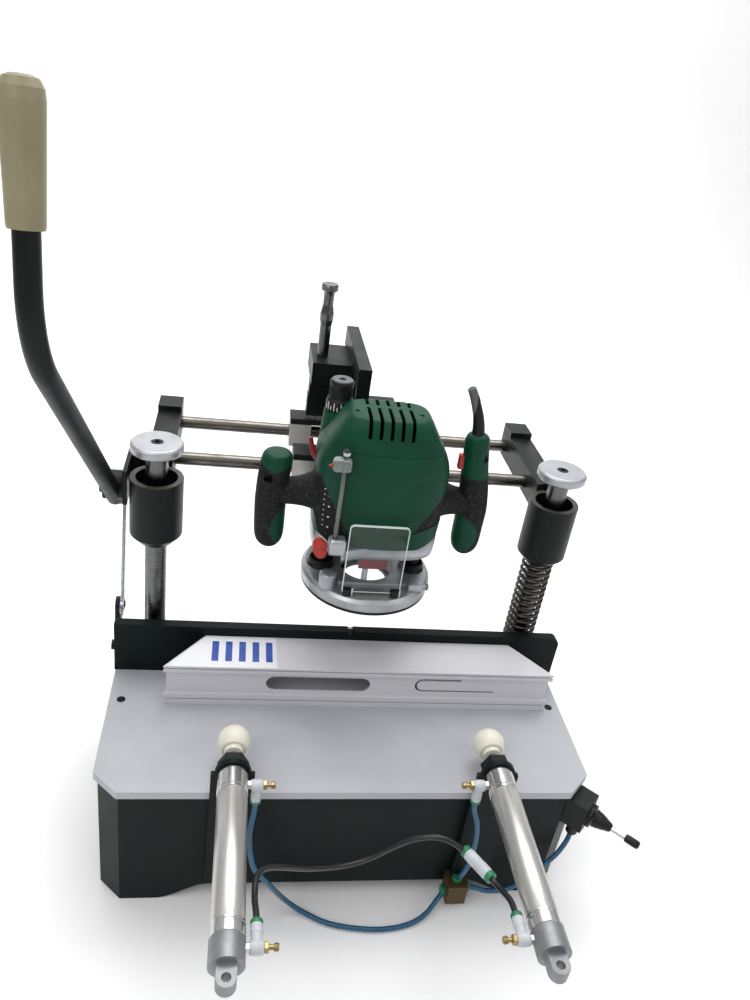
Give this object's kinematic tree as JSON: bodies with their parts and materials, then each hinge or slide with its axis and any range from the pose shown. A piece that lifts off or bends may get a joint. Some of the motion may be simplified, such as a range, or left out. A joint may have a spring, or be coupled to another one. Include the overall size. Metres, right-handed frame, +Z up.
{
  "type": "duplicating router",
  "caption": "Bench copy milling machine: a plunge router on a sliding saddle, lever-lowered yoke on guide posts, air clamps, stylus and fence for window profiles.",
  "frame": {"origin": "on the bench, midway between the two guide posts and between the two rear bench bolts beside them", "axes": "+X to the right along the fence, +Y to the back, +Z up along the guide posts"},
  "size_m": [0.6518, 0.691, 0.8482],
  "materials": {
    "green_sheet": "satin dark green powder coat",
    "table_grey": "matte light grey paint",
    "steel_bright": "ground",
    "steel_black": "black oxide",
    "aluminium_silver": "anodised satin",
    "cast_silver": "cast and machined",
    "bronze": "sintered",
    "brass": "satin",
    "router_green": "fine grain",
    "rubber_black": "matt",
    "plastic_black": "matt",
    "plastic_grey": "matt",
    "plastic_red": "gloss",
    "plastic_beige": "smooth",
    "plastic_clear": "clear",
    "hose_blue": "smooth",
    "hose_black": "smooth",
    "copper": "wound wire",
    "profile_white": "smooth"
  },
  "bodies": {
    "base": {"cabinet": "green_sheet", "table_plate": "table_grey", "fence": "green_sheet", "base_screws": "steel_black", "guide_posts": "steel_bright", "post_caps": "aluminium_silver", "link_anchor": "steel_black", "clamp_brackets": "steel_black", "clamp_barrels": "aluminium_silver", "clamp_caps": "cast_silver", "clamp_nuts": "steel_black", "air_fittings": "plastic_grey", "valve_body": "plastic_black", "inline_coupler": "plastic_grey", "tee_block": "brass", "hose_front_left": "hose_blue", "hose_rear_left": "hose_black", "hose_front_right": "hose_blue", "hose_rear_right": "hose_black", "hose_valve": "hose_blue", "sample_profile": "profile_white", "lift_spring": "steel_bright"},
    "yoke": {"housing_left": "steel_black", "housing_right": "steel_black", "post_bushes": "bronze", "arm_left": "steel_black", "arm_right": "steel_black", "cross_rods": "steel_bright", "lever_bracket": "steel_black"},
    "lever": {"lever_tube": "steel_black", "lever_grip": "plastic_beige"},
    "link": {"pull_link": "steel_bright"},
    "saddle": {"saddle_frame": "steel_black", "rod_bearings": "aluminium_silver"},
    "head": {"depth_rods": "steel_bright", "carrier_plate": "steel_black", "tie_block": "steel_black", "router_base": "cast_silver", "sole_plate": "plastic_black", "plunge_columns": "steel_black", "chip_shield": "plastic_clear", "stop_turret": "cast_silver"},
    "stylus": {"stylus_pin": "steel_bright"},
    "motor": {"plunge_collar": "plastic_grey", "motor_housing": "router_green", "handle_left": "router_green", "handle_right": "router_green", "motor_stator": "copper", "cord_guard": "rubber_black"},
    "spindle": {"spindle": "steel_bright", "collet_nut": "steel_bright", "cutter": "steel_bright"},
    "switch": {"power_switch": "plastic_red"},
    "knob": {"fine_knob": "plastic_black"},
    "gauge": {"depth_gauge": "steel_bright"},
    "wing": {"wing_screw": "plastic_red"},
    "piston_left": {"piston_left": "steel_bright"},
    "piston_right": {"piston_right": "steel_bright"},
    "valve_stick": {"valve_lever": "plastic_black"}
  },
  "joints": [
    {"name": "yoke_lift", "type": "slide", "parent": "base", "child": "yoke", "axis": [0, 0, -1], "range_m": [0, 0.05], "stiffness_N_per_m": 2500, "springref_m": -0.1, "deforming": ["lift_spring"]},
    {"name": "lever_swing", "type": "hinge", "parent": "yoke", "child": "lever", "pos_m": [-0.285, 0.012, 0.416], "axis": [1, 0, 0], "range_deg": [0, 56]},
    {"name": "link_swing", "type": "hinge", "parent": "lever", "child": "link", "pos_m": [-0.2775, 0.05013, 0.37918], "axis": [1, 0, 0], "range_deg": [-61, 0]},
    {"name": "saddle_cross", "type": "slide", "parent": "yoke", "child": "saddle", "axis": [1, 0, 0], "range_m": [-0.055, 0.055]},
    {"name": "head_depth", "type": "slide", "parent": "saddle", "child": "head", "axis": [0, 1, 0], "range_m": [-0.06, 0.008]},
    {"name": "stylus_lift", "type": "slide", "parent": "head", "child": "stylus", "axis": [0, 0, 1], "range_m": [0, 0.015]},
    {"name": "router_plunge", "type": "slide", "parent": "head", "child": "motor", "axis": [0, 0, -1], "range_m": [-0.02, 0.023]},
    {"name": "spindle_spin", "type": "hinge", "parent": "motor", "child": "spindle", "pos_m": [0.0125, -0.02, 0.44], "axis": [0, 0, 1], "continuous": true},
    {"name": "switch_press", "type": "slide", "parent": "motor", "child": "switch", "axis": [1, 0, 0], "range_m": [0, 0.003], "stiffness_N_per_m": 300},
    {"name": "knob_turn", "type": "hinge", "parent": "motor", "child": "knob", "pos_m": [-0.0405, 0.004, 0.54], "axis": [0, 0, 1], "continuous": true},
    {"name": "gauge_slide", "type": "slide", "parent": "motor", "child": "gauge", "axis": [0, 0, 1], "range_m": [0, 0.02]},
    {"name": "wing_turn", "type": "hinge", "parent": "motor", "child": "wing", "pos_m": [-0.0458, -0.078, 0.402], "axis": [1, 0, 0], "continuous": true},
    {"name": "clamp_left_stroke", "type": "slide", "parent": "base", "child": "piston_left", "axis": [0, 1, 0], "range_m": [0, 0.072]},
    {"name": "clamp_right_stroke", "type": "slide", "parent": "base", "child": "piston_right", "axis": [0, 1, 0], "range_m": [0, 0.072]},
    {"name": "valve_swing", "type": "hinge", "parent": "base", "child": "valve_stick", "pos_m": [0.2858, -0.2288, 0.146], "axis": [0.7071, 0.7071, 0], "range_deg": [-3, 3]}
  ],
  "couplings": [
    {"joint": "lever_swing", "follows": "yoke_lift", "rad_per_m": 18.774},
    {"joint": "link_swing", "follows": "yoke_lift", "rad_per_m": -20.844},
    {"joint": "clamp_right_stroke", "follows": "clamp_left_stroke", "ratio": 1}
  ]
}
